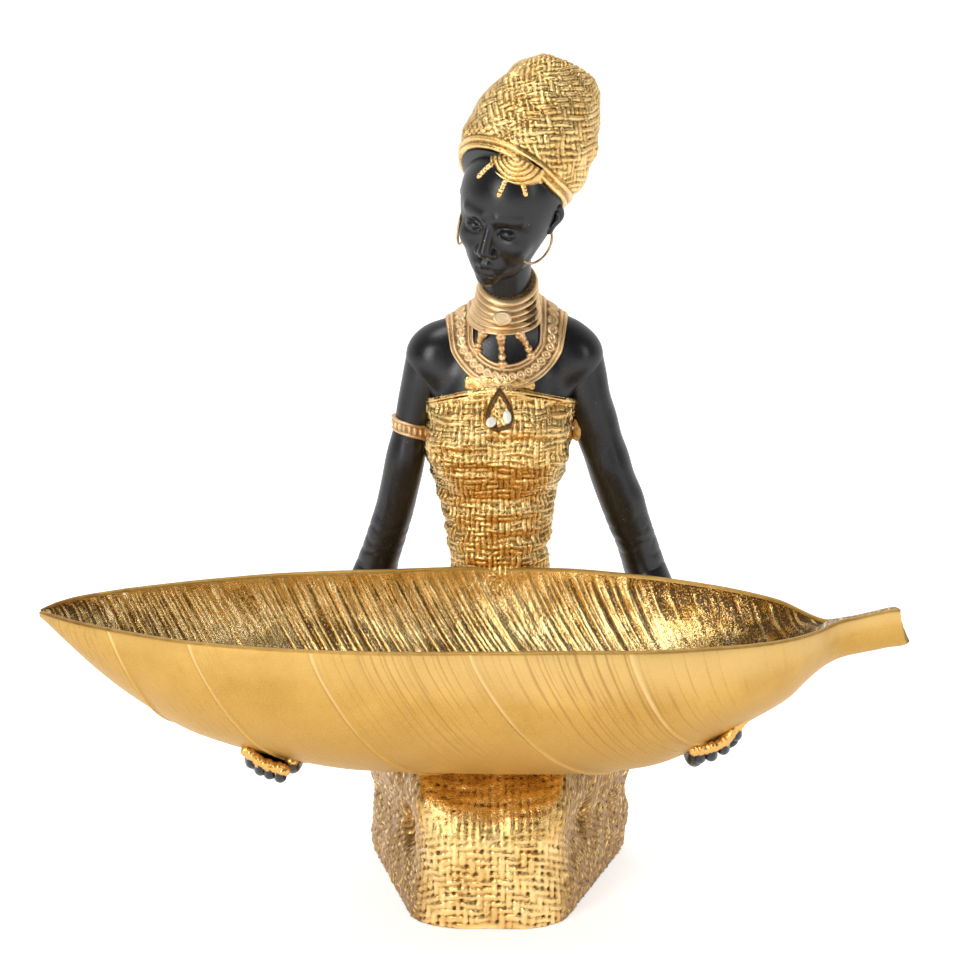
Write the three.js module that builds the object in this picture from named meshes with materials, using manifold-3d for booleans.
// A kneeling woman with a leaf-shaped bowl on her lap: a decorative figurine, cast in one piece, with two
// wire hoop earrings. Millimetres, +Z up. The viewer stands at -Y, and +X is at the viewer's right hand.
// The origin is on the underside, below the middle of the kneeling legs.
import * as THREE from "three";
import { mergeVertices } from "three/addons/utils/BufferGeometryUtils.js";
import Module from "manifold-3d";

const wasm = await Module();
wasm.setup();

// Driving dimensions of the figure.
const AXIS_Y = 29; // the torso stands this far behind the origin
const KNEE_Y = -50; // front of the skirt, over the knees
const WAIST_Z = 105;
const NECKLINE_Z = 184; // top edge of the dress at the front
const NECKLINE_DIP = 18; // how much lower that edge is at the middle of the back
const DRESS_THICK = 0.9; // the dress stands this proud of the skin
const HEM_THICK = 0.9; // and its rolled hem this proud of the dress
const HEM_HEIGHT = 2.6;
const SHOULDER_Z = 192;
const LAP_Z = 57; // top of the lap, under the bowl
const LAP_EDGE_Y = -28; // from here forward the lap slopes down to the knees
const LAP_SLOPE = 0.77;

// Driving dimensions of the leaf bowl.
const BOWL_Y = -38; // midrib line
const RIM_Z = 114.5;
const BOWL_HALF_WIDTH = 54;
const BOWL_DEPTH = 57.8;
const TIP_X = -161;
const STEM_X = 144;
const WALL = 3.8;
const VEIN_HEIGHT = 0.9;

// Driving dimensions of the head, about the middle of the skull.
const HEAD_CENTRE = [3.4, 15.5, 247.2];
const HEAD_YAW = -26;
const HEAD_PITCH = 14;
const HEAD_ROLL = 12;
const TURBAN_LEAN = 45; // backwards, from the head's own upright
const EAR_X = 16.2; // lobes of the ears, from the middle of the head
const EAR_Z = -2.4;

const rad = THREE.MathUtils.degToRad;
const vec = (p) => new THREE.Vector3(...p);
const clamp = THREE.MathUtils.clamp;

// A smooth curve through rows of [position, value, value, ...], with no overshoot between them.
function smoothRows(rows) {
  const at = rows.map((row) => row[0]);
  const width = rows[0].length;
  const secant = (i, k) => (rows[i + 1][k] - rows[i][k]) / (at[i + 1] - at[i]);
  const slope = (i, k) => {
    if (i === 0) return secant(0, k);
    if (i === rows.length - 1) return secant(i - 1, k);
    const before = secant(i - 1, k);
    const after = secant(i, k);
    return before * after <= 0 ? 0 : (2 * before * after) / (before + after);
  };
  return (t) => {
    const held = clamp(t, at[0], at[at.length - 1]);
    let i = at.findIndex((a, n) => n > 0 && held <= a) - 1;
    if (i < 0) i = 0;
    const span = at[i + 1] - at[i];
    const f = (held - at[i]) / span;
    const values = [];
    for (let k = 1; k < width; k++) {
      const [from, to] = [rows[i][k], rows[i + 1][k]];
      const [out, into] = [slope(i, k) * span, slope(i + 1, k) * span];
      const cubic = 2 * (from - to) + out + into;
      const square = 3 * (to - from) - 2 * out - into;
      values.push(((cubic * f + square) * f + out) * f + from);
    }
    return values;
  };
}

// Distance fields: each takes a point and gives about how far it lies outside the shape.
const ellipsoid = (centre, radii) => (p) => {
  const q = p.map((v, i) => (v - centre[i]) / radii[i]);
  const near = Math.hypot(...q);
  const steep = Math.hypot(...q.map((v, i) => v / radii[i]));
  return steep < 1e-9 ? -Math.min(...radii) : (near * (near - 1)) / steep;
};
const limb = (from, to, startRadius, endRadius) => {
  const along = to.map((v, i) => v - from[i]);
  const lengthSquared = along.reduce((sum, v) => sum + v * v, 0);
  return (p) => {
    const t = clamp(
      p.reduce((sum, v, i) => sum + (v - from[i]) * along[i], 0) / lengthSquared,
      0,
      1,
    );
    const off = Math.hypot(...p.map((v, i) => v - from[i] - along[i] * t));
    return off - (startRadius + (endRadius - startRadius) * t);
  };
};
const blend =
  (softness, ...fields) =>
  (p) =>
    fields
      .map((field) => field(p))
      .reduce((a, b) => {
        const share = Math.max(softness - Math.abs(a - b), 0) / softness;
        return Math.min(a, b) - (share * share * softness) / 4;
      });
const carve = (softness, field, tool) => {
  const joined = blend(
    softness,
    (p) => -field(p),
    (p) => tool(p),
  );
  return (p) => -joined(p);
};
const bothSides = (make) => [make(-1), make(1)];

// The outermost point of a field on the ray from a point along a unit direction.
function surfacePoint(field, from, direction, reach = 110) {
  let r = reach;
  for (let step = 0; step < 200; step++) {
    const d = field(from.map((v, i) => v + direction[i] * r));
    if (d < 0.005) break;
    r = Math.max(0.5, r - Math.max(d * 0.8, 0.005));
  }
  return from.map((v, i) => v + direction[i] * r);
}

// A closed solid from vertices and triangles, turned to face outwards.
function solidFrom(points, triangles) {
  const geometry = new THREE.BufferGeometry();
  geometry.setAttribute("position", new THREE.Float32BufferAttribute(points.flat(), 3));
  geometry.setIndex(triangles.flat());
  const merged = mergeVertices(geometry, 1e-4);
  const build = (index) =>
    new wasm.Manifold(
      new wasm.Mesh({
        numProp: 3,
        vertProperties: merged.attributes.position.array,
        triVerts: index,
      }),
    );
  const index = new Uint32Array(merged.index.array);
  const made = build(index);
  if (made.volume() > 0) return made;
  for (let i = 0; i < index.length; i += 3)
    [index[i + 1], index[i + 2]] = [index[i + 2], index[i + 1]];
  return build(index);
}

const middle = (ring) =>
  [0, 1, 2].map((i) => ring.reduce((sum, p) => sum + p[i], 0) / ring.length);

// A closed solid skinned over a stack of rings with the same number of points.
function skin(rings) {
  const n = rings[0].length;
  const points = [...rings.flat(), middle(rings[0]), middle(rings[rings.length - 1])];
  const [low, high] = [points.length - 2, points.length - 1];
  const top = (rings.length - 1) * n;
  const triangles = [];
  for (let j = 0; j < n; j++) {
    const k = (j + 1) % n;
    for (let i = 0; i + 1 < rings.length; i++) {
      const [a, b, c, d] = [i * n + j, i * n + k, (i + 1) * n + k, (i + 1) * n + j];
      triangles.push([a, b, c], [a, c, d]);
    }
    triangles.push([low, k, j], [high, top + j, top + k]);
  }
  return solidFrom(points, triangles);
}

// A solid swept along a smooth path through rows of [x, y, z, radius], with domed ends.
function sweep(rows, sides, steps, flatten = 1, side = [0, 1, 0], dome = 0.9) {
  const curve = new THREE.CatmullRomCurve3(rows.map((row) => vec(row.slice(0, 3))));
  const radiusAt = smoothRows(rows.map((row, i) => [i / (rows.length - 1), row[3]]));
  const rings = [];
  const ring = (t, push, share) => {
    const centre = curve.getPoint(t);
    const along = curve.getTangent(t);
    const across = new THREE.Vector3().crossVectors(along, vec(side)).normalize();
    const out = new THREE.Vector3().crossVectors(across, along).normalize();
    const r = radiusAt(t)[0];
    centre.addScaledVector(along, push * r);
    const points = [];
    for (let j = 0; j < sides; j++) {
      const a = (2 * Math.PI * j) / sides;
      const p = centre
        .clone()
        .addScaledVector(across, Math.cos(a) * r * share)
        .addScaledVector(out, Math.sin(a) * r * share * flatten);
      points.push(p.toArray());
    }
    rings.push(points);
  };
  const bend = rad(55);
  ring(0, -Math.sin(bend) * dome, Math.cos(bend));
  for (let i = 0; i <= steps; i++) ring(i / steps, 0, 1);
  ring(1, Math.sin(bend) * dome, Math.cos(bend));
  return skin(rings);
}

const union = (solids) => solids.reduce((all, next) => all.add(next));

// The torso as a column of oval sections: height, half width, depth to the front, depth to the back,
// sideways shift, distance of the axis behind the origin.
const torsoSection = smoothRows([
  [40, 34, 24, 24, 0, AXIS_Y + 2],
  [62, 28, 20, 22, 0, AXIS_Y + 1],
  [85, 20, 14.5, 15.5, 0, AXIS_Y + 1],
  [WAIST_Z, 16.2, 13, 13, 0.6, AXIS_Y],
  [123, 17.8, 13.5, 13.5, 0, AXIS_Y],
  [140, 20.3, 14.5, 15, -0.4, AXIS_Y],
  [155, 24, 15.5, 16.5, -0.5, AXIS_Y - 1],
  [172, 26, 15.5, 17, 0.8, AXIS_Y - 1],
  [186, 26.5, 14.5, 15.5, 1.6, AXIS_Y],
  [196, 24, 12.5, 13.5, 2, AXIS_Y + 1],
  [203, 17, 11, 12, 2, AXIS_Y + 1.5],
  [210, 10, 9, 10, 2, AXIS_Y + 1],
]);
const torso = (p) => {
  const [half, front, back, x, y] = torsoSection(p[2]);
  const depth = p[1] < y ? front : back;
  const across = Math.hypot((p[0] - x) / half, (p[1] - y) / depth);
  return Math.max((across - 1) * Math.min(half, depth), p[2] - 208, 30 - p[2]);
};
const NECK_BASE = [2, AXIS_Y + 2, 199];
const NECK_TOP = [2.6, AXIS_Y - 10.5, 231];
const neck = limb(NECK_BASE, NECK_TOP, 10, 8.9);
const bust = bothSides((s) => ellipsoid([s * 11.5, AXIS_Y - 12.5, 160.5], [12, 8.5, 12]));
const shoulders = [
  ellipsoid([-24.3, AXIS_Y + 1, SHOULDER_Z - 0.4], [9.6, 9.6, 10.8]),
  ellipsoid([28.5, AXIS_Y + 1, SHOULDER_Z], [9.6, 9.6, 10.5]),
];
const nape = [
  limb([-1, AXIS_Y + 5, 208], [-19, AXIS_Y + 2, 198], 6.6, 6.6),
  limb([6, AXIS_Y + 5, 211], [23, AXIS_Y + 2, 199.6], 7, 6.8),
];
const trunk = blend(7, blend(8, torso, ...bust), blend(5, neck, ...nape), ...shoulders);

// The kneeling legs under the skirt: thighs on top, shins and feet below, and a block of cloth over
// the knees.
const block = (centre, half, radius, flare) => (p) => {
  const wide = half[0] + flare * p[2];
  const q = [Math.abs(p[0] - centre[0]) - wide, Math.abs(p[1] - centre[1]) - half[1]];
  q.push(Math.abs(p[2] - centre[2]) - half[2]);
  const outside = Math.hypot(...q.map((v) => Math.max(v, 0)));
  return outside + Math.min(Math.max(...q), 0) - radius;
};
const knees = block([-2.4, KNEE_Y + 24, 29], [7.4, 9, 21], 15, 0.1);
const thighs = [
  limb([-31, AXIS_Y + 1, 42], [-13, KNEE_Y + 24, 41], 18.4, 16),
  limb([31, AXIS_Y + 1, 41], [10.5, KNEE_Y + 24, 41], 18.4, 16),
];
const shins = [
  limb([-33, AXIS_Y + 2, 14], [-16, KNEE_Y + 18, 14], 13.9, 13),
  limb([34, AXIS_Y + 2, 15.5], [13, KNEE_Y + 18, 14], 13.9, 13),
  limb([-33.5, AXIS_Y + 4, 4], [-17.8, KNEE_Y + 18, 4], 13.4, 14),
  limb([33, AXIS_Y + 4, 4], [11.8, KNEE_Y + 18, 4], 13.4, 14),
];
const seat = ellipsoid([0, AXIS_Y + 4, 51], [35, 24, 22]);
const toes = ellipsoid([0, AXIS_Y + 14, 7], [33, 15, 14]);
const creases = [ellipsoid([-32, -17, 27], [5, 9, 8]), ellipsoid([31, -17, 30], [3, 8, 6])];
const aboveLap = (p) => (p[2] - LAP_Z + (LAP_EDGE_Y - p[1]) * LAP_SLOPE) / Math.hypot(1, LAP_SLOPE);
const uprightLegs = blend(5, knees, blend(11, blend(6, ...thighs, seat), blend(5, ...shins, toes)));
const legs = carve(
  5,
  carve(9, uprightLegs, (p) => -aboveLap(p)),
  blend(1, ...creases),
);
const dressed = blend(12, legs, torso);
const dressField = (p) => blend(8, dressed, ...bust)(p) - DRESS_THICK;

// A ring of surface points round the body, on rays that leave the axis at a given slope.
function bodyRing(field, sides, heightAt, y, slope, x = 0) {
  const points = [];
  for (let j = 0; j < sides; j++) {
    const a = (2 * Math.PI * j) / sides;
    const direction = [
      Math.cos(a) * Math.cos(slope),
      Math.sin(a) * Math.cos(slope),
      Math.sin(slope),
    ];
    points.push(surfacePoint(field, [x, y, heightAt(a)], direction));
  }
  return points;
}

// The neckline falls from the front to under the arms and the back.
const necklineAt = (a) => NECKLINE_Z - NECKLINE_DIP * Math.pow((1 + Math.sin(a)) / 2, 1.1);

// The dress: rings rise from the flat underside, fan over the lap, and climb the torso to the neckline.
function dress() {
  const sides = 24;
  const path = smoothRows([
    [0, 0, 0, 2],
    [8, 30, 0, 2],
    [11, 40, 25, 4],
    [14, 50, 52, 16],
    [17, 66, 40, 26],
    [20, 88, 12, AXIS_Y],
    [22, WAIST_Z, 0, AXIS_Y],
  ]);
  const rings = [];
  for (let t = 0; t <= 22; t++) {
    const [height, slope, y] = path(t);
    rings.push(bodyRing(dressField, sides, () => height, y, rad(slope)));
  }
  const upper = 8;
  for (let i = 1; i <= upper; i++) {
    const heightAt = (a) => WAIST_Z + ((necklineAt(a) - HEM_HEIGHT - WAIST_Z) * i) / upper;
    rings.push(bodyRing(dressField, sides, heightAt, AXIS_Y, 0));
  }
  const proud = (p) => dressField(p) - HEM_THICK;
  rings.push(bodyRing(proud, sides, (a) => necklineAt(a) - HEM_HEIGHT * 0.8, AXIS_Y, 0));
  rings.push(bodyRing(proud, sides, (a) => necklineAt(a) - HEM_HEIGHT * 0.3, AXIS_Y, 0));
  rings.push(bodyRing(dressField, sides, necklineAt, AXIS_Y, 0));
  return skin(rings);
}

// A closed hoop of sections, each a ring of points.
function tube(rings) {
  const n = rings[0].length;
  const triangles = [];
  for (let i = 0; i < rings.length; i++)
    for (let j = 0; j < n; j++) {
      const [next, k] = [(i + 1) % rings.length, (j + 1) % n];
      const [a, b, c, d] = [i * n + j, i * n + k, next * n + k, next * n + j];
      triangles.push([a, b, c], [a, c, d]);
    }
  return solidFrom(rings.flat(), triangles);
}

// The bare chest, shoulders and neck above the dress.
function chest() {
  const rings = [];
  const heights = [163, 175, 184, 189, 194.5, 199, 203.5, 208.5, 216, 230];
  const axis = smoothRows([
    [163, 1, AXIS_Y],
    [200, 2, AXIS_Y + 1],
    [230, 2.6, AXIS_Y - 10],
  ]);
  for (const z of heights) {
    const [x, y] = axis(z);
    rings.push(bodyRing(trunk, 20, () => z, y, 0, x));
  }
  return skin(rings);
}

// The leaf bowl and its stem, by distance along it: half width, midrib's distance behind the origin, depth of
// the outside, depth of the inside, dip of the back rim, rise of the whole rim.
const bowlSection = smoothRows([
  [TIP_X, 2, BOWL_Y, 2, 0.4, 0, 0],
  [-157, 7.5, BOWL_Y + 0.5, 5, 3, 0, 0],
  [-150, 15, BOWL_Y + 1.3, 11.6, 8.6, 0, 0],
  [-140, 22, BOWL_Y + 1, 20.6, 17, 0, 0],
  [-129, 28.5, BOWL_Y + 0.5, 28.8, 25, 0, 0],
  [-104, 40, BOWL_Y - 0.5, 43.2, 39.4, 0, 0],
  [-76, 48, BOWL_Y, 51.8, 48, 0, 0],
  [-48, 51.8, BOWL_Y, 56.2, 52.4, 0, 0],
  [-10, BOWL_HALF_WIDTH, BOWL_Y + 2, BOWL_DEPTH, BOWL_DEPTH - WALL, 0, 0],
  [22, 52.8, BOWL_Y + 1.7, BOWL_DEPTH, BOWL_DEPTH - WALL, 0, 0],
  [50, 49, BOWL_Y - 1.3, 53.8, 50, 0.4, 0],
  [77, 41.4, BOWL_Y - 3.6, 42.6, 38.2, 1.4, 0],
  [91, 35.4, BOWL_Y - 5, 34.8, 28, 2.2, 0],
  [101, 28.5, BOWL_Y - 6, 28.2, 16, 2.8, 0],
  [107, 22, BOWL_Y - 6.5, 22, 8, 3.7, -0.2],
  [111, 17, BOWL_Y - 6.5, 18.5, 3.5, 4.2, -0.4],
  [115, 12, BOWL_Y - 6, 16.2, 1, 4.5, -0.3],
  [119, 9, BOWL_Y - 5.5, 15, 0.4, 4, 0.2],
  [124, 7.4, BOWL_Y - 5, 14.4, 0.3, 3.6, 0.8],
  [131, 6.6, BOWL_Y - 4.4, 14.6, 0.3, 3, 2.2],
  [STEM_X - 5, 6.3, BOWL_Y - 4.2, 14.4, 0.3, 2.4, 3.4],
  [STEM_X - 1.5, 5.6, BOWL_Y - 4.2, 13.2, 0.3, 2, 2.9],
  [STEM_X, 4.2, BOWL_Y - 4.2, 10.6, 0.3, 1.6, 1.6],
]);

// Lines across the leaf run along its side veins, which leave the midrib and lean towards the tip as they
// climb. Each row: where the line meets the rim and the midrib. The whole numbers 2 to 6 are the veins, and
// the last two rows are the stem's foot and its end.
const leafLine = smoothRows([
  [0, TIP_X, TIP_X],
  [1, -151, -143],
  [2, -134, -112],
  [3, -105, -62],
  [4, -63, -12],
  [5, -9, 50],
  [6, 45, 86],
  [7, 90, 104],
  [8, 114, 116.5],
  [9, STEM_X - 4.4, STEM_X],
]);
const STEM_END_LINE = 9;
const VEIN_LINES = [2, 3, 4, 5, 6];
const VEIN_SHARE = 0.05; // half a vein's width as a share of the distance between two veins

// A point of the bowl's wall: turn 0 is the back rim, a quarter turn the midrib, half a turn the front rim.
function bowlPoint(line, turn, inside, proud = 0) {
  const [atRim, atMidrib] = leafLine(line);
  const down = 1 - Math.abs(turn - Math.PI / 2) / (Math.PI / 2);
  const leaning = inside ? clamp(STEM_END_LINE - line, 0, 1) : 1; // the stem's flat top ends square
  const x = atRim + (atMidrib - atRim) * leaning * Math.pow(down, 1.2);
  const [half, mid, outer, inner, dip, rise] = bowlSection(x);
  const wall = Math.min(WALL * 0.75, half * 0.35);
  const [w, depth] = inside ? [half - wall, inner] : [half + proud, outer + proud];
  const rim = RIM_Z + rise - dip * clamp(Math.cos(turn), 0, 1);
  return [x, mid + w * Math.cos(turn), rim - depth * Math.sin(turn)];
}

function bowl() {
  const turns = [0, 0.14, 0.29, 0.45].map((share) => share * Math.PI);
  turns.push(Math.PI / 2, ...turns.toReversed().map((turn) => Math.PI - turn));
  const lines = [0, 0.3, 0.65, 1, 1.5];
  for (const line of VEIN_LINES) lines.push(line - VEIN_SHARE, line, line + VEIN_SHARE, line + 0.5);
  lines.splice(lines.indexOf(2.5), 1, 2.33, 2.66);
  lines.push(7, 7.35, 7.7, 8, 8.4, 8.8, 9);
  const ribHeight = (line, turn) => {
    if (VEIN_LINES.includes(line)) return VEIN_HEIGHT * Math.sin(turn) ** 0.3;
    const onMidrib = turn === Math.PI / 2 && line > 0.5 && line < 8;
    return onMidrib ? VEIN_HEIGHT : 0;
  };
  return skin(
    lines.map((line) => {
      const outer = turns.map((turn) => bowlPoint(line, turn, false, ribHeight(line, turn)));
      const inner = turns.toReversed().map((turn) => bowlPoint(line, turn, true));
      return [...outer, ...inner];
    }),
  );
}

// Each arm hangs from the shoulder to an elbow beside the bowl's back rim, and the forearm runs under it.
const LEFT_ARM = [
  [-26, AXIS_Y + 1, 191, 8],
  [-28.8, AXIS_Y + 2, 177, 8],
  [-32, AXIS_Y + 2.5, 164, 7],
  [-35, AXIS_Y + 3, 150, 7.3],
  [-39, AXIS_Y + 5, 132, 7.2],
  [-43.8, AXIS_Y + 8, 116, 7.4],
  [-47.5, AXIS_Y + 9, 105, 7.8],
  [-58, AXIS_Y - 6, 88, 7],
  [-67, 4, 72, 5.6],
  [-74, -12, 61, 5],
];
const RIGHT_ARM = [
  [30, AXIS_Y + 1, 191, 8.2],
  [32.8, AXIS_Y + 2, 177, 8.4],
  [36.4, AXIS_Y + 2.5, 164, 8],
  [41, AXIS_Y + 3, 150, 8.2],
  [47.2, AXIS_Y + 5, 132, 7.9],
  [52.8, AXIS_Y + 8, 116, 7.6],
  [56.2, AXIS_Y + 9, 106, 7.8],
  [64, AXIS_Y - 6, 91, 7],
  [70, 4, 77, 5.6],
  [75, -12, 68, 5],
];
const arm = (rows) => sweep(rows, 9, 11);

// The hands lie palm up under the bowl, four fingers forward. Each row: sideways place of a fingertip and
// the height of its underside.
const LEFT_FINGERS = [
  [-86, 62.4],
  [-83, 59.8],
  [-79.8, 58.4],
  [-76.2, 57.2],
];
const RIGHT_FINGERS = [
  [82.6, 73],
  [78.4, 67.8],
  [74.2, 65.4],
  [70.2, 64.6],
];
const FINGER_RADIUS = 2.15;
function finger([x, under]) {
  const z = under + FINGER_RADIUS;
  return sweep(
    [
      [x * 0.99, BOWL_Y + 1, z - 0.6, FINGER_RADIUS],
      [x, BOWL_Y - 10, z - 0.6, FINGER_RADIUS],
      [x, BOWL_Y - 18.5, z + 0.6, FINGER_RADIUS],
      [x * 1.002, BOWL_Y - 22.5, z + 5.6, FINGER_RADIUS * 0.85],
    ],
    5,
    4,
    1,
    [1, 0, 0],
  );
}
function hand(fingers, wrist, thumb) {
  const mid = fingers.reduce((sum, f) => sum + f[0], 0) / fingers.length;
  const low = fingers.reduce((sum, f) => sum + f[1], 0) / fingers.length;
  const palm = sweep(
    [
      [...wrist.slice(0, 3), 6],
      [mid, BOWL_Y + 20, low + 1.4, 8.2],
      [mid, BOWL_Y + 2, low + 0.8, 9],
      [mid, BOWL_Y - 8, low + 2, 8],
    ],
    8,
    5,
    0.42,
    [0, 0, 1],
    0.5,
  );
  const inner = sweep(
    [
      [mid * 0.92, BOWL_Y + 18, low + 2, 3.2],
      [thumb[0], BOWL_Y + 2, thumb[1] - 4, 3.2],
      [thumb[0], BOWL_Y - 13, thumb[1] - 2.5, 2.9],
      [thumb[0], BOWL_Y - 18, thumb[1] + 1, 2.4],
    ],
    6,
    4,
    1,
    [1, 0, 0],
  );
  return union([palm, inner, ...fingers.map(finger)]);
}

// The head in its own frame: the face looks to -Y, the eyes are level with the middle.
const HEAD_HEIGHT = 45;
const H = HEAD_HEIGHT / 46; // the shapes below are set out on a head 46 high
const headFrame = new THREE.Matrix4()
  .makeTranslation(...HEAD_CENTRE)
  .multiply(new THREE.Matrix4().makeRotationZ(rad(HEAD_YAW)))
  .multiply(new THREE.Matrix4().makeRotationX(rad(HEAD_PITCH)))
  .multiply(new THREE.Matrix4().makeRotationY(rad(HEAD_ROLL)));
const placeHead = (p) => vec(p).multiplyScalar(H).applyMatrix4(headFrame).toArray();

const skull = blend(
  5,
  ellipsoid([0, 2, 7], [18.8, 19.5, 20]),
  ellipsoid([0, -4.5, -4.5], [14.6, 12.5, 16]),
  ellipsoid([0, -7.5, -13.5], [10.3, 8.8, 9.8]),
);
const cheeks = bothSides((s) => ellipsoid([s * 8.2, -11.4, -6], [5.2, 4.8, 5.2]));
const chin = ellipsoid([0, -14.2, -20.4], [4.2, 3.4, 3.2]);
const brows = bothSides((s) => limb([s * 2.4, -16.9, 4.6], [s * 10.4, -13.6, 5.2], 1.5, 1.2));
const sockets = bothSides((s) => ellipsoid([s * 6.6, -19.4, 0.2], [4.3, 3.6, 2.9]));
const eyes = bothSides((s) => ellipsoid([s * 6.6, -14.4, -0.1], [3.6, 3.1, 2.3]));
const noseBridge = limb([0, -15.9, 3], [0, -19.8, -7.6], 1.8, 2.3);
const nostrils = bothSides((s) => ellipsoid([s * 2.6, -17.8, -8.6], [2, 2.2, 1.6]));
const mouthMound = ellipsoid([0, -13.8, -14.6], [6.6, 4.6, 5.2]);
const upperLip = limb([-2.8, -17.4, -13.8], [2.8, -17.4, -13.8], 1.5, 1.5);
const lowerLip = limb([-2.2, -17.1, -16.5], [2.2, -17.1, -16.5], 1.8, 1.8);
const faceMass = blend(3, skull, ...cheeks, chin, mouthMound, ...brows);
const hollowed = carve(2.5, faceMass, blend(0.5, ...sockets));
const headField = blend(
  1,
  blend(0.8, hollowed, ...eyes),
  blend(1.2, noseBridge, ...nostrils),
  upperLip,
  lowerLip,
);

// Directions are packed closer over the face, where the features lie.
function head() {
  const across = 20;
  const up = 15;
  const rings = [];
  for (let i = 1; i < up; i++) {
    const rise = rad(-90 + (180 * i) / up);
    const ring = [];
    for (let j = 0; j < across; j++) {
      const even = (2 * Math.PI * j) / across;
      const a = even + 0.42 * Math.sin(even);
      const direction = [
        Math.sin(a + Math.PI) * Math.cos(rise),
        Math.cos(a + Math.PI) * Math.cos(rise) * -1,
        Math.sin(rise),
      ];
      ring.push(placeHead(surfacePoint(headField, [0, -2, -2], direction, 30)));
    }
    rings.push(ring);
  }
  return skin(rings);
}
function ear(s) {
  const rows = [
    [s * EAR_X, 0.2, EAR_Z, 1.7],
    [s * (EAR_X + 0.7), 0.8, EAR_Z + 2.2, 1.8],
    [s * (EAR_X + 2.2), 2.8, EAR_Z + 5.6, 2.1],
    [s * (EAR_X + 2), 2.2, EAR_Z + 9, 1.7],
  ];
  return sweep(
    rows.map(([x, y, z, r]) => [...placeHead([x, y, z]), r]),
    7,
    5,
  );
}

// The turban: rings about an axis that leans back from the crown. Its lower edge rises over the forehead.
const TURBAN_BASE = [-1.6, 3.4, 10.4];
const TURBAN_LENGTH = 46;
const TURBAN_TILT = 0.055; // and the crown drifts this share of its length to the woman's left
const BAND_RISE = 5;
const BAND_PEAK = rad(-115); // direction round the axis in which the edge rises most
const lean = rad(TURBAN_LEAN);
function turbanPoint(height, half, a) {
  const [cx, cy, cz] = TURBAN_BASE;
  const rise = BAND_RISE * Math.max(Math.cos(a - BAND_PEAK), 0);
  const along = height + rise * (1 - height / TURBAN_LENGTH);
  const side = Math.cos(a) * half;
  const fore = Math.sin(a) * half;
  return placeHead([
    cx + side + along * TURBAN_TILT,
    cy + along * Math.sin(lean) + fore * Math.cos(lean),
    cz + along * Math.cos(lean) - fore * Math.sin(lean),
  ]);
}
const turbanHalf = smoothRows([
  [-2, 20],
  [3, 22.2],
  [9, 23.7],
  [18, 23.6],
  [28, 21.6],
  [36, 18.6],
  [43, 15.4],
  [TURBAN_LENGTH, 12.8],
]);
const BAND_ROLL = 1.2; // each of the two rolls along the band stands this proud
function turban() {
  const sides = 20;
  const band = [
    [-2, -1],
    [-1, BAND_ROLL],
    [0.4, BAND_ROLL],
    [1, 0.2],
    [1.6, BAND_ROLL],
    [3, BAND_ROLL],
    [3.8, 0],
  ];
  const cloth = [11, 18, 25, 32, 38.5, 44, TURBAN_LENGTH].map((height) => [height, 0]);
  const rings = [...band, ...cloth].map(([height, proud]) =>
    Array.from({ length: sides }, (_, j) =>
      turbanPoint(height, turbanHalf(height)[0] + proud, (2 * Math.PI * j) / sides),
    ),
  );
  return skin(rings);
}

// The stepped half disc under the band's front. It is wider than it is deep, and its ends hang a little.
const ORNAMENT = [4.4, -7.4, 26];
const ORNAMENT_TILT = 38;
const ORNAMENT_TURN = rad(8);
const ORNAMENT_SHARE = 0.84; // depth over half the width
function ornament() {
  const rings = [
    [10, -4],
    [10, 0.6],
    [7.4, 0.7],
    [7, 1.5],
    [4.4, 1.6],
    [4, 2.4],
  ].map(([radius, out]) =>
    Array.from({ length: 14 }, (_, j) => {
      const a = j < 11 ? (Math.PI * j) / 10 : null;
      const flat = [0.5, 0, -0.5][j - 11];
      const wide = a === null ? -flat * radius : Math.cos(a) * radius;
      const deep = (a === null ? 0 : Math.sin(a) * radius * ORNAMENT_SHARE) + (wide * wide) / 60;
      const x = wide * Math.cos(ORNAMENT_TURN) - deep * Math.sin(ORNAMENT_TURN);
      const down = deep * Math.cos(ORNAMENT_TURN) + wide * Math.sin(ORNAMENT_TURN);
      const tilt = rad(ORNAMENT_TILT);
      return placeHead([
        ORNAMENT[0] + x,
        ORNAMENT[1] - out * Math.cos(tilt) - down * Math.sin(tilt) + (x * x) / 42,
        ORNAMENT[2] + out * Math.sin(tilt) - down * Math.cos(tilt),
      ]);
    }),
  );
  return skin(rings);
}

// The choker: ribbed rings that widen down the neck, with a round boss at the front.
const chokerRow = smoothRows([
  [0, 3.3, 21, 222.2, 10.1, 38],
  [0.5, 2.8, 22, 214.4, 11.2, 26],
  [1, 1.8, 22.2, 207, 13.3, 14],
]);
const CHOKER_RIBS = 4;
function chokerPoint(t, out, a) {
  const [x, y, z, radius, tilt] = chokerRow(t);
  const fore = Math.sin(a) * (radius + out);
  return [
    x + Math.cos(a) * (radius + out),
    y + fore * Math.cos(rad(tilt)),
    z + fore * Math.sin(rad(tilt)),
  ];
}
function choker() {
  const sides = 14;
  const rings = [];
  for (let i = 0; i <= CHOKER_RIBS * 2; i++) {
    const out = i % 2 ? 0.9 : -0.2;
    rings.push(
      Array.from({ length: sides }, (_, j) =>
        chokerPoint(i / (CHOKER_RIBS * 2), out, (2 * Math.PI * j) / sides),
      ),
    );
  }
  return skin(rings);
}
const boss = (centre, radius, thick) =>
  sweep(
    [
      [centre[0], centre[1] + thick, centre[2], radius],
      [centre[0], centre[1], centre[2], radius],
    ],
    12,
    1,
    1,
    [0, 0, 1],
    0.3,
  );

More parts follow.
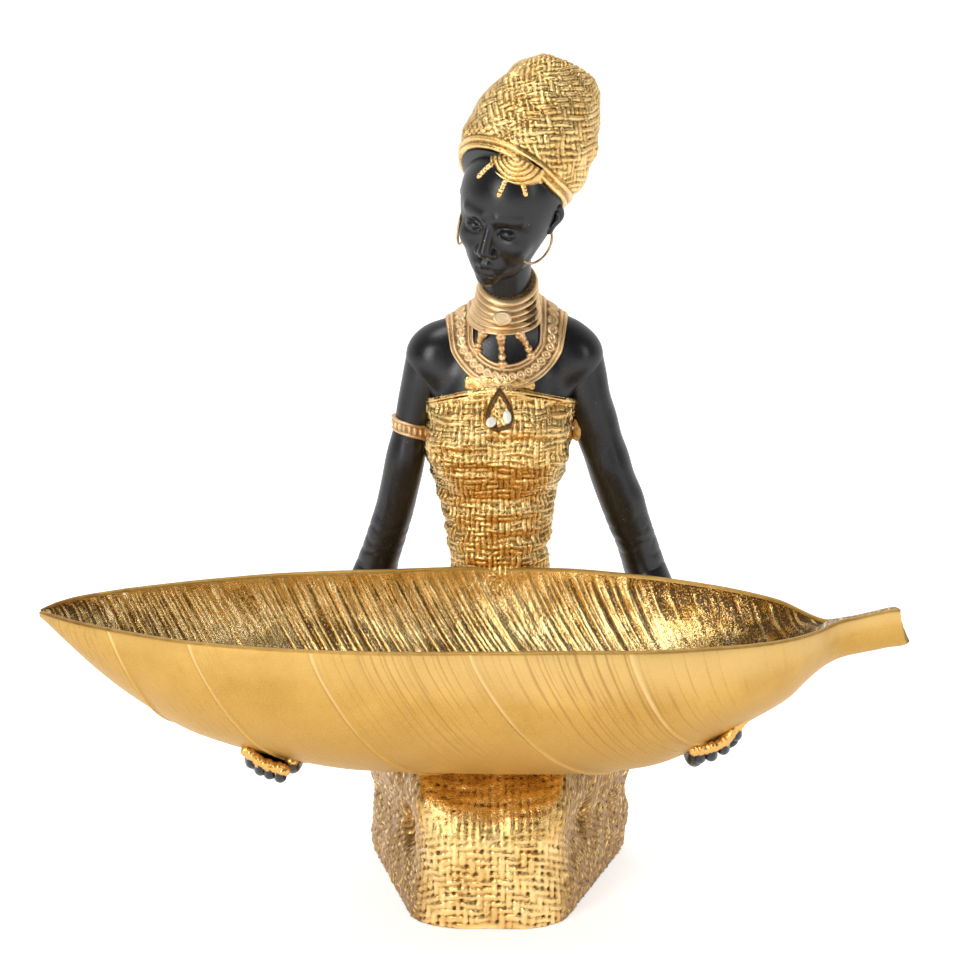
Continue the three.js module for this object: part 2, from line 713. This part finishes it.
// The necklace lies on the shoulders and hangs over the chest as half a ring, seen from the front. Its inner
// edge draws in to the choker at the sides and behind.
const NECKLACE_AT = [2.2, AXIS_Y + 1, 205];
const NECKLACE_INNER = 13.3;
const NECKLACE_OUTER = 21.2;
const NECKLACE_DRAWN_IN = 3;
function necklacePoint(a, share, out) {
  const front = -Math.sin(a);
  // Rays run level at the front and the back, and up at the sides.
  const level = THREE.MathUtils.smoothstep(Math.abs(front), 0, 0.45);
  const drawnIn = 1 - THREE.MathUtils.smoothstep(front, 0.1, 0.5);
  const inner = NECKLACE_INNER - NECKLACE_DRAWN_IN * drawnIn;
  const radius = inner + (NECKLACE_OUTER - inner) * share;
  const [x, y, z] = NECKLACE_AT;
  const hang = front > 0 ? radius * front : -0.35 * radius * front;
  const inside = SHOULDER_Z + 4;
  const from = [x + Math.cos(a) * radius, y, inside + (z - hang - inside) * level];
  const lift = rad(90 * (1 - level));
  const direction = [0, -Math.sign(front) * Math.cos(lift), Math.sin(lift)];
  const at = surfacePoint(trunk, from, direction);
  return at.map((v, i) => v + direction[i] * out);
}
function necklace() {
  const sides = 28;
  const section = [
    [0, -1.2],
    [0, 1.1],
    [1, 1.1],
    [1, -1.2],
  ];
  const rings = [];
  for (let j = 0; j < sides; j++) {
    const a = (2 * Math.PI * (j + 0.5)) / sides;
    rings.push(section.map(([share, out]) => necklacePoint(a, share, out)));
  }
  return tube(rings);
}

// The teardrop pendant on the bodice.
function pendant() {
  const outline = (half, top, low, out) =>
    Array.from({ length: 14 }, (_, j) => {
      const a = (2 * Math.PI * j) / 14;
      const drop = (1 - Math.cos(a)) / 2;
      const x = half * Math.sin(a) * Math.pow(drop, 0.6);
      const z = top + (low - top) * drop;
      const at = surfacePoint(dressField, [0.3, AXIS_Y, z], [0, -1, 0]);
      return [x + 0.3, at[1] - out, z];
    });
  return skin([
    outline(6, NECKLINE_Z, 168, -1.5),
    outline(6, NECKLINE_Z, 168, 1),
    outline(4.9, NECKLINE_Z - 3.4, 169.2, 1.7),
  ]);
}
// The band on one upper arm slopes down towards the bodice, and a knob sits in the other armpit.
function armband() {
  const rings = [];
  for (const [z, half] of [
    [-2.6, 7.2],
    [-2.1, 7.9],
    [0, 8.1],
    [2.1, 7.9],
    [2.6, 7.2],
  ])
    rings.push(
      Array.from({ length: 14 }, (_, j) => {
        const a = (2 * Math.PI * j) / 14;
        const x = Math.cos(a) * half;
        return [-31.6 + x, AXIS_Y + 2.5 + Math.sin(a) * half, 165 + z - x * 0.25];
      }),
    );
  return skin(rings);
}
const knob = () =>
  sweep(
    [
      [28, AXIS_Y - 1, 169, 1.4],
      [29.2, AXIS_Y - 1.5, 165, 2],
      [28.6, AXIS_Y - 1, 162, 1.4],
    ],
    7,
    3,
  );

// Wire hoops through the ear lobes.
const HOOP_RADIUS = 7.6;
const HOOP_SWING = 45; // the hoops hang forward of straight down
const WIRE_RADIUS = 0.45;
const CLEARANCE = 0.35;
function hoop(s, wire) {
  const lobe = [s * EAR_X, 0.2, EAR_Z + 1];
  const turn = rad(s < 0 ? 100 : 66);
  const swing = rad(HOOP_SWING);
  const rings = [];
  const sides = 18;
  for (let i = 0; i < sides; i++) {
    const a = (2 * Math.PI * i) / sides;
    rings.push(
      Array.from({ length: 5 }, (_, k) => {
        const b = (2 * Math.PI * k) / 5;
        const r = HOOP_RADIUS + wire * Math.cos(b);
        const off = wire * Math.sin(b);
        const across = r * Math.sin(a) - HOOP_RADIUS * Math.sin(swing);
        return placeHead([
          lobe[0] + Math.cos(turn) * across - Math.sin(turn) * off,
          lobe[1] + Math.sin(turn) * across + Math.cos(turn) * off,
          lobe[2] + r * Math.cos(a) - HOOP_RADIUS * Math.cos(swing),
        ]);
      }),
    );
  }
  return tube(rings);
}

// Materials, with colours taken from the photograph's gold and black resin.
const gold = new THREE.MeshStandardMaterial({
  color: 0xc8963c,
  roughness: 0.35,
  metalness: 0.9,
});
const bronze = new THREE.MeshStandardMaterial({
  color: 0x8a6a3a,
  roughness: 0.3,
  metalness: 1,
});

// A named mesh of a solid.
function piece(name, solid, material) {
  const made = solid.getMesh();
  const geometry = new THREE.BufferGeometry();
  geometry.setAttribute("position", new THREE.BufferAttribute(made.vertProperties, 3));
  geometry.setIndex(new THREE.BufferAttribute(made.triVerts, 1));
  geometry.computeVertexNormals();
  const mesh = new THREE.Mesh(geometry, material);
  mesh.name = name;
  return mesh;
}

const cast = union([
  dress(),
  chest(),
  bowl(),
  arm(LEFT_ARM),
  arm(RIGHT_ARM),
  hand(LEFT_FINGERS, LEFT_ARM.at(-1), [-72.2, 64.6]),
  hand(RIGHT_FINGERS, RIGHT_ARM.at(-1), [68.8, 67.4]),
  head(),
  ear(-1),
  ear(1),
  turban(),
  ornament(),
  choker(),
  boss([1.1, 8.4, 209.4], 3.3, 3),
  necklace(),
  pendant(),
  armband(),
  knob(),
]);

const figurine = new THREE.Group();
let body = cast;
for (const [name, s] of [
  ["earring_right", -1],
  ["earring_left", 1],
]) {
  body = body.subtract(hoop(s, WIRE_RADIUS + CLEARANCE));
  figurine.add(piece(name, hoop(s, WIRE_RADIUS), bronze));
}
// Small pockets sealed between the bowl and what it rests on are filled.
body = body.decompose().find((part) => part.volume() > 0);
figurine.add(piece("figurine", body, gold));
export default figurine;
